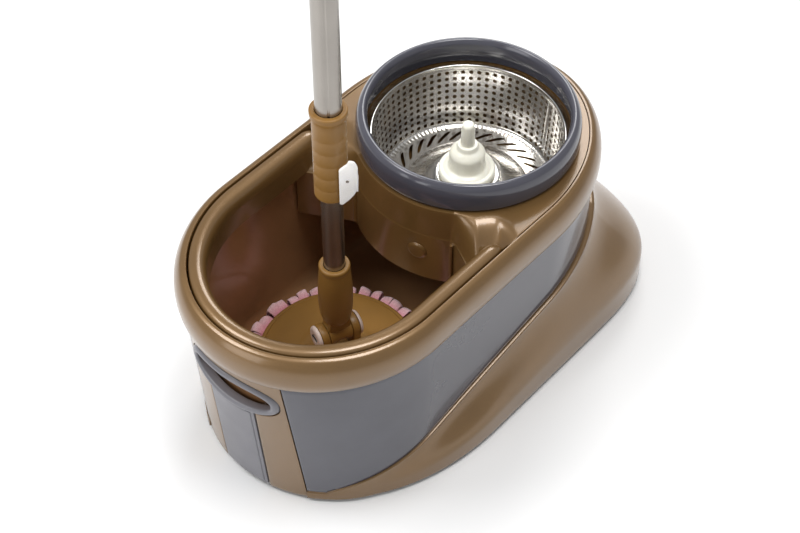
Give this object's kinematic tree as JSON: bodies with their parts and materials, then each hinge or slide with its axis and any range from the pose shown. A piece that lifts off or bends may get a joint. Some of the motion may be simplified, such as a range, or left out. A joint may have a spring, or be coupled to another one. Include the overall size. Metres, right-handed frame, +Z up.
{
  "type": "spin mop set",
  "caption": "Wheeled oval bucket with a washing zone, a spinning steel wringer basket with a splash ring, and a telescopic spin mop with a round microfibre head.",
  "frame": {"origin": "centre of the footprint at floor level, feet and wheels on the floor", "axes": "+Z up along the mop's pole, +Y towards the basket and the wheels, -Y towards the washing zone and the pull handle, +X to the right"},
  "size_m": [0.31, 0.538, 0.9717],
  "materials": {
    "bronze_plastic": "moulded ABS with a pearlescent bronze pigment, satin gloss",
    "slate_plastic": "moulded ABS, slate grey, high gloss",
    "grey_plastic": "moulded polypropylene, mid grey, satin",
    "ochre_plastic": "moulded polypropylene, ochre brown, satin",
    "milk_plastic": "moulded acetal, milk white, slightly translucent",
    "white_plastic": "moulded acetal, white",
    "cream_plastic": "moulded nylon, pale pinkish cream",
    "black_plastic": "moulded polypropylene, black",
    "rubber": "moulded rubber, black",
    "stainless_steel": "polished and brushed stainless steel",
    "microfibre": "knitted microfibre strips, pale pink"
  },
  "bodies": {
    "bucket": {"bucket_tub": "bronze_plastic", "rim_band": "bronze_plastic", "front_fascia": "bronze_plastic", "rear_fascia": "bronze_plastic", "side_panel_left": "slate_plastic", "side_panel_right": "slate_plastic", "base_skirt": "bronze_plastic", "base_plate": "black_plastic", "axle_bracket_left": "black_plastic", "axle_bracket_right": "black_plastic", "axle_cap_left": "black_plastic", "axle_cap_right": "black_plastic", "stub_axle_left": "stainless_steel", "stub_axle_right": "stainless_steel", "front_foot_left": "rubber", "front_foot_right": "rubber", "deck_cover": "bronze_plastic", "basket_well": "bronze_plastic", "splash_ring": "slate_plastic", "spindle": "stainless_steel", "spindle_nut": "stainless_steel", "thrust_washer": "white_plastic", "handle_pin": "stainless_steel"},
    "basket": {"basket_shell": "stainless_steel", "basket_hub": "milk_plastic", "centre_pin": "milk_plastic", "hub_nut": "milk_plastic", "hub_bearing": "white_plastic"},
    "left_wheel": {"wheel_left": "black_plastic", "tyre_left": "rubber"},
    "right_wheel": {"wheel_right": "black_plastic", "tyre_right": "rubber"},
    "pull_handle": {"pull_handle": "grey_plastic"},
    "mop_head": {"mop_plate": "ochre_plastic", "fibre_carrier": "white_plastic", "microfibre_pile": "microfibre", "knuckle_base": "ochre_plastic", "knuckle_pin": "stainless_steel", "knuckle_cap_front": "cream_plastic", "knuckle_cap_rear": "cream_plastic"},
    "lower_pole": {"lower_socket": "ochre_plastic", "lower_tube": "stainless_steel", "drive_nut": "white_plastic"},
    "slide_bush": {"slide_bush": "white_plastic"},
    "upper_pole": {"lock_sleeve": "ochre_plastic", "brake_shoe": "white_plastic", "lever_pin": "stainless_steel", "upper_tube": "stainless_steel", "twist_rod": "stainless_steel", "rod_anchor": "black_plastic", "handle_grip": "ochre_plastic", "hanging_cap": "ochre_plastic"},
    "lock_lever": {"lock_lever": "white_plastic"}
  },
  "joints": [
    {"name": "basket_spin", "type": "hinge", "parent": "bucket", "child": "basket", "pos_m": [0, 0.08901, 0.19], "axis": [0, 0, 1], "continuous": true},
    {"name": "wheel_roll_left", "type": "hinge", "parent": "bucket", "child": "left_wheel", "pos_m": [-0.108, 0.21101, 0.027], "axis": [1, 0, 0], "continuous": true},
    {"name": "wheel_roll_right", "type": "hinge", "parent": "bucket", "child": "right_wheel", "pos_m": [0.108, 0.21101, 0.027], "axis": [1, 0, 0], "continuous": true},
    {"name": "handle_pull_out", "type": "hinge", "parent": "bucket", "child": "pull_handle", "pos_m": [0, -0.23831, 0.0105], "axis": [1, 0, 0], "range_deg": [0, 80]},
    {"name": "mop_lift", "type": "slide", "parent": "bucket", "child": "mop_head", "axis": [0, -0.1532, 0.9882], "range_m": [0, 0.4]},
    {"name": "pole_tilt", "type": "hinge", "parent": "mop_head", "child": "lower_pole", "pos_m": [0, -0.10999, 0.099], "axis": [0.3502, 0.9367, 0], "range_deg": [-25, 25]},
    {"name": "pole_slide", "type": "slide", "parent": "lower_pole", "child": "slide_bush", "axis": [0, 0, 1], "range_m": [-0.04, 0.25]},
    {"name": "pole_spin", "type": "hinge", "parent": "slide_bush", "child": "upper_pole", "pos_m": [0, -0.10999, 0.3], "axis": [0, 0, 1], "range_deg": [-145, 901]},
    {"name": "lever_flip", "type": "hinge", "parent": "upper_pole", "child": "lock_lever", "pos_m": [0.0117, -0.09982, 0.327], "axis": [0.6561, -0.7547, 0], "range_deg": [0, 80]}
  ],
  "couplings": [
    {"joint": "pole_spin", "follows": "pole_slide", "rad_per_m": 62.832}
  ]
}
